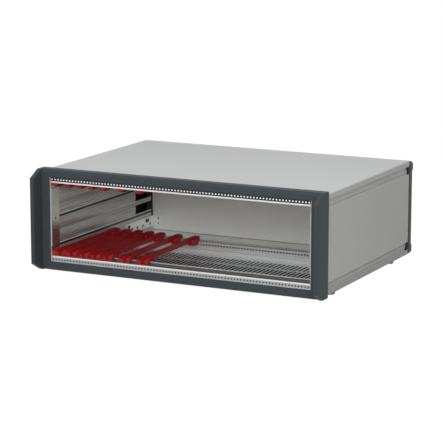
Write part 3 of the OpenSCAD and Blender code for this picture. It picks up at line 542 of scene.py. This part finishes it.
class CASE_OT_housing(bpy.types.Operator):
    """Painted cover and base, side panels and corner profiles"""

    bl_idname = "case.housing"
    bl_label = "Housing"

    def execute(self, context):
        finish, detail, _ = settings()
        self.cover(finish)
        self.base(finish)
        side = material("side_paint", "paint", finish.side, **SHEET_PAINT)
        _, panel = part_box("right_side_panel")
        second_finish(side, "plastic", finish.lining_and_shade, [("|X|", "<", panel.x - 2 * PAINTED)])
        for name in SIDES:
            softened(f"{name}_side_panel", f"{name}_panel", side, detail.panel_edge)
        profile = material(
            "profile_finish", "paint", finish.profile, contrast=0.06, bump=0.15, relief=0.02,
            Specular_IOR_Level=0.12)
        dress([f"{level}_{name}_profile" for level in LEVELS for name in SIDES], profile)
        return {"FINISHED"}

    def cover(self, finish):
        """Cover painted outside and bare inside; its folded edges look like the sides."""
        _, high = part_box("top_cover")
        paint = material("cover_paint", "paint", finish.cover, **SHEET_PAINT)
        inside = [("|X|", "<", BARE_HALF), ("Z", "<", high.z - PAINTED)]
        second_finish(paint, "metal", finish.floor, inside, metallic=0.6)
        second_finish(paint, "paint", finish.side, [("|X|", ">", high.x - PAINTED)], contrast=0.05)
        dress(["top_cover"], paint)

    def base(self, finish):
        """Base painted outside and bare inside, brighter behind the rear rail, with painted shade on its
        vent slots' walls.
        """
        low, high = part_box("base_plate")
        _, rear_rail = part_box("lower_rear_rail")
        paint = material("base_paint", "paint", finish.cover, **SHEET_PAINT)
        bare = ("|X|", "<", BARE_HALF)
        inside = [bare, ("Z", ">", low.z + PAINTED)]
        second_finish(paint, "metal", finish.floor, inside, metallic=0.6)
        second_finish(paint, "metal", finish.bracket, [*inside, ("Y", ">", rear_rail.y)], metallic=0.4)
        second_finish(paint, "paint", finish.fold, [("|X|", ">", high.x - PAINTED)], contrast=0.05)
        # painted shade on the walls of the vent slots
        slots = [bare, *band("Z", low.z, SLOT_WALLS)]
        second_finish(paint, "metal", finish.dark_steel_and_shade, slots, metallic=0.3)
        dress(["base_plate"], paint)


class CASE_OT_rear(bpy.types.Operator):
    """Rear frame with its pads and end clips"""

    bl_idname = "case.rear"
    bl_label = "Rear frame"

    def execute(self, context):
        finish, detail, _ = settings()
        paint = material("rear_paint", "paint", finish.rear, bump=0.3, **CAST_PAINT)
        softened("rear_frame", "rear_casting", paint, detail.rear_edge)
        pad = material("pad_plastic", "plastic", finish.black, Specular_IOR_Level=0.2, **MOULDED)
        clip = material("clip_plastic", "plastic", finish.rubber, Specular_IOR_Level=0.03, **MOULDED)
        for level in LEVELS:
            for name in SIDES:
                corner = f"{level}_{name}"
                softened(
                    f"{corner}_rear_pad", f"{corner}_pad", pad, detail.pad_edge,
                    segments=3)
                softened(f"{corner}_end_clip", f"{corner}_clip", clip, detail.clip_edge)
        return {"FINISHED"}


class CASE_OT_cage(bpy.types.Operator):
    """Bare aluminium of the card cage: side plates, rails, brackets and rear panel"""

    bl_idname = "case.cage"
    bl_label = "Card cage"

    def execute(self, context):
        finish, detail, _ = settings()
        bracket_low, bracket_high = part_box("left_rear_bracket")
        shade_behind_brackets = (
            ("Z", ">", bracket_low.z + BACKING_MARGIN), ("Z", "<", bracket_high.z - BACKING_MARGIN))
        self.side_plates(finish, [("Y", ">", bracket_low.y + BACKING_MARGIN), *shade_behind_brackets])
        bracket = material("bracket_plating", "metal", finish.bracket, Metallic=0.9, **ROLLED)
        foot = [("Y", ">", bracket_high.y - BRACKET_FOOT)]
        second_finish(bracket, "satin", finish.panel, foot, metallic=0.2)
        dress([f"{name}_rear_bracket" for name in SIDES], bracket)
        rivet = material("rivet_dark", "metal", finish.dark_steel_and_shade, **DARK_STEEL)
        dress(["bracket_rivets"], rivet)
        self.shade_joints(finish)
        panel = material("panel_aluminium", "satin", finish.panel, contrast=0.08, bump=0.02, Metallic=0.2)
        panel_low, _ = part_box("rear_panel")
        # painted shade on the rear panel's face behind the brackets
        second_finish(panel, "metal", finish.lining_and_shade, [
            ("|X|", ">", BACKING_MARGIN - bracket_high.x), ("Y", "<", panel_low.y + SKIN), *shade_behind_brackets])
        dress(["rear_panel"], panel)
        self.rails(finish, detail)
        return {"FINISHED"}

    def side_plates(self, finish, shade_behind_brackets):
        """Fluted plates with a bright front strip, painted highlights on the beads above their joints and
        painted shade in the joints and behind the brackets.
        """
        plate = material(
            "plate_aluminium", "metal", finish.flute, grain=LENGTHWISE, contrast=0.5, bump=0.12,
            Metallic=0.65)
        nose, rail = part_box("lower_front_rail")
        low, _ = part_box("left_side_plate")
        strip = nose.y + PLATE_STRIP
        second_finish(plate, "bright", finish.edge_strip, [("Y", "<", strip)], metallic=0.95)
        # the plates' front edges: a diffuse finish, darker than the flutes, which also paints shade on them
        second_finish(plate, "metal", finish.strip, [("Y", "<", low.y + SKIN)])
        for board in range(BEADED_JOINTS):
            joint = rail.z + FIRST_JOINT + board * BOARD
            bead_highlight = [("Y", ">", strip), *band("Z", joint, BEAD_HIGHLIGHT)]
            groove_shade = [("Y", ">", strip), *band("Z", joint, JOINT_SHADE)]
            # painted highlight along the bead above the joint
            second_finish(plate, "bright", finish.bracket, bead_highlight, metallic=0.35)
            # painted shade round the joint
            second_finish(plate, "metal", finish.lining_and_shade, groove_shade)
        # painted shade on the plates behind the brackets' holes
        second_finish(plate, "metal", finish.lining_and_shade, shade_behind_brackets)
        dress([f"{name}_side_plate" for name in SIDES], plate)

    def rails(self, finish, detail):
        """Bright rails with painted shade in their channels and holes and a painted highlight on the front
        rails' ridge; the upper nose has painted shade above its lip.
        """
        nose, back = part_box("lower_front_rail")
        rear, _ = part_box("lower_rear_rail")
        strip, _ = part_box("upper_threaded_strip")
        front = material("rail_aluminium", "metal", finish.rail, Metallic=1.0, **EXTRUDED)
        # painted shade in the front rails' channel
        channel = [("Y", ">", nose.y + NOSE_FACE), ("Y", "<", back.y - RIDGE)]
        second_finish(front, "metal", finish.rail_shade, channel, metallic=0.5)
        # painted highlight on the ridge at the back of the rail
        second_finish(front, "bright", finish.bracket, [("Y", ">", back.y - RIDGE)], metallic=0.1)
        softened("lower_front_rail", "lower_front_bar", front, detail.rail_edge)
        upper = front.copy()
        upper.name = "upper_rail_aluminium"
        # painted shade on the upper nose's face above its lip
        second_finish(upper, "paint", finish.dark_steel_and_shade, [
            ("Y", "<", strip.y + DARK_NOSE), ("Z", ">", strip.z - DARK_NOSE_BELOW)])
        softened("upper_front_rail", "upper_front_bar", upper, detail.rail_edge)
        holes = material("rear_rail_aluminium", "metal", finish.rail, Metallic=0.6, **EXTRUDED)
        # painted shade in the rear rails' groove of holes
        second_finish(holes, "metal", finish.rail_shade, band("Y", rear.y, HOLE_ROW), metallic=0.5)
        dress([f"{level}_rear_rail" for level in LEVELS], holes)

    def shade_joints(self, finish):
        """Dark strips in the joints of the fluted side plates, which paint the joints' shade."""
        black = material("joint_seal", "plastic", finish.lining_and_shade, contrast=0.3)
        nose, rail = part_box("lower_front_rail")
        _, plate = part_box("right_side_plate")
        front = nose.y + PLATE_STRIP
        half = Vector((SHADE_STRIP_HALF_THICK, (plate.y - front) / 2 - SHADE_STRIP_END_GAP, SHADE_STRIP_HALF_HIGH))
        bm = bmesh.new()
        for way in BOTH_WAYS:
            for board in range(SHADED_JOINTS):
                joint = rail.z + FIRST_JOINT + board * BOARD
                place = Vector((way * (rail.x + SHADE_STRIP_OUT), (front + plate.y) / 2, joint))
                block(bm, place - half, place + half)
        piece_from(bm, "joint_seals", black)


class CASE_OT_strips(bpy.types.Operator):
    """Threaded strips and the bright sockets in the upper one"""

    bl_idname = "case.strips"
    bl_label = "Threaded strips"

    def execute(self, context):
        finish, _, _ = settings()
        zinc = material("strip_zinc", "metal", finish.zinc, Metallic=1.0, **ROLLED)
        # the upper threaded strip gets painted shade under the bezel; the lower strip has its own colour
        dark = material("strip_dark", "metal", finish.dark_steel_and_shade, Metallic=0.6, **ROLLED)
        light = material("strip_light", "metal", finish.strip, Metallic=0.8, **ROLLED)
        dress(["lower_threaded_strip"], light)
        dress(["upper_threaded_strip"], dark)
        low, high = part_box("upper_threaded_strip")
        count = round((high.x - low.x) / CARD_PITCH)
        middle = (low + high) / 2
        lying = Matrix.Rotation(math.pi / 2, 4, "X")
        bm = bmesh.new()
        for i in range(count):
            x = (i - (count - 1) / 2) * CARD_PITCH
            place = Matrix.Translation((x, low.y + SOCKET_SET, middle.z))
            bmesh.ops.create_cone(
                bm, cap_ends=True, segments=SOCKET_SIDES, radius1=SOCKET_RADIUS, radius2=SOCKET_RADIUS,
                depth=SOCKET_LENGTH, matrix=place @ lying)
        piece_from(bm, "upper_screw_sockets", zinc)
        return {"FINISHED"}


class CASE_OT_guides(bpy.types.Operator):
    """Red card guides with moulded edges"""

    bl_idname = "case.guides"
    bl_label = "Card guides"

    def execute(self, context):
        finish, detail, _ = settings()
        red = material(
            "guide_plastic", "plastic", finish.guide, contrast=0.25, bump=0.2, Specular_IOR_Level=0.2)
        for level in LEVELS:
            for i in GUIDES:
                softened(
                    f"{level}_guide_{i}", f"{level}_card_guide_{i}", red, detail.guide_edge)
        self.knobs(red, detail)
        return {"FINISHED"}

    def knobs(self, red, detail):
        """A knob beside the nose of each lower guide, on a short arm, to fill the row behind the lip."""
        _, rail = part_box("lower_front_rail")
        bm = bmesh.new()
        for i in GUIDES:
            front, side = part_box(f"lower_guide_{i}")
            corner = Vector((side.x, front.y, rail.z + KNOB_LIFT))
            for low, high in (KNOB, KNOB_ARM):
                block(bm, corner + Vector(low) * MM, corner + Vector(high) * MM)
        round_edges(bm, bm.edges, detail.knob_edge)
        piece_from(bm, "lower_guide_knobs", red)


class CASE_OT_hardware(bpy.types.Operator):
    """Feet, fasteners and the rear brackets' clips"""

    bl_idname = "case.hardware"
    bl_label = "Feet and fasteners"

    def execute(self, context):
        finish, detail, _ = settings()
        rubber = material("foot_rubber", "plastic", finish.rubber, contrast=0.3, bump=0.4)
        for end in ENDS:
            for name in SIDES:
                softened(
                    f"{end}_{name}_foot", f"{end}_{name}_buffer", rubber, detail.foot_edge)
        zinc = material("screw_zinc", "metal", finish.zinc, grain=EVEN_GRAIN, contrast=0.3, Metallic=1.0)
        dress([name for name in NODES if name.endswith("_screws")], zinc)
        self.clips(finish)
        return {"FINISHED"}

    def clips(self, finish):
        """Small dark spring clips on the inner faces of the rear brackets."""
        steel = material("clip_steel", "metal", finish.dark_steel_and_shade, **DARK_STEEL)
        low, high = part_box("left_rear_bracket")
        face = -low.x - BRACKET_SHEET
        bm = bmesh.new()
        for way in BOTH_WAYS:
            for clip in BRACKET_CLIPS:
                back, up, deep, tall = [size * MM for size in clip]
                place = Vector((way * face, high.y - back, low.z + up))
                half = Vector((CLIP_PROUD, deep / 2, tall / 2))
                block(bm, place - half, place + half)
        piece_from(bm, "bracket_clips", steel)


class CASE_OT_stage(bpy.types.Operator):
    """Pale floor, soft lights and the camera"""

    bl_idname = "case.stage"
    bl_label = "Studio"

    def execute(self, context):
        _, _, stage = settings()
        scene = context.scene
        scene.view_settings.view_transform = "Standard"
        pale_floor()
        even_light(stage.ambient)
        for name, (place, target, size) in SOFTBOXES.items():
            softbox(f"{name}_softbox", getattr(stage, name), place, target, size)
        back = Vector((
            math.sin(stage.azimuth) * math.cos(stage.elevation),
            -math.cos(stage.azimuth) * math.cos(stage.elevation),
            math.sin(stage.elevation)))
        data = bpy.data.cameras.new("studio_camera")
        data.sensor_width = SENSOR
        data.lens = stage.lens
        data.clip_end = VIEW_END
        camera = put_in_scene("studio_camera", data)
        place = Vector(stage.target) + back * stage.distance
        camera.matrix_world = aimed(place, -back) @ Matrix.Rotation(stage.roll, 4, "Z")
        scene.camera = camera
        return {"FINISHED"}


class CASE_PT_panel(bpy.types.Panel):
    """Lists the case's pieces and their values"""

    bl_label = "Rack mount case"
    bl_idname = "CASE_PT_panel"
    bl_space_type = "VIEW_3D"
    bl_region_type = "UI"
    bl_category = "Case"

    def draw(self, context):
        for operator in OPERATORS:
            self.layout.operator(operator.bl_idname)
        for group in settings():
            column = self.layout.column(heading=group.bl_rna.name)
            for key in group.bl_rna.properties.keys():
                if key not in ("rna_type", "name"):
                    column.prop(group, key)


OPERATORS = (
    CASE_OT_bezel, CASE_OT_housing, CASE_OT_rear, CASE_OT_cage, CASE_OT_strips, CASE_OT_guides,
    CASE_OT_hardware, CASE_OT_stage)
GROUPS_OF_VALUES = {"case_finish": CaseFinish, "case_detail": CaseDetail, "case_stage": CaseStage}
CLASSES = (*GROUPS_OF_VALUES.values(), *OPERATORS, CASE_PT_panel)


def register():
    """Makes the classes known and hangs the groups of values on the scene."""
    for cls in CLASSES:
        bpy.utils.register_class(cls)
    for name, cls in GROUPS_OF_VALUES.items():
        setattr(bpy.types.Scene, name, bpy.props.PointerProperty(type=cls))


def unregister():
    """Takes back what register did."""
    for name in GROUPS_OF_VALUES:
        delattr(bpy.types.Scene, name)
    for cls in reversed(CLASSES):
        bpy.utils.unregister_class(cls)


def main():
    """Builds the case and its studio."""
    register()
    bpy.ops.case.bezel()
    bpy.ops.case.housing()
    bpy.ops.case.rear()
    bpy.ops.case.cage()
    bpy.ops.case.strips()
    bpy.ops.case.guides()
    bpy.ops.case.hardware()
    bpy.ops.case.stage()


if __name__ == "__main__":
    main()
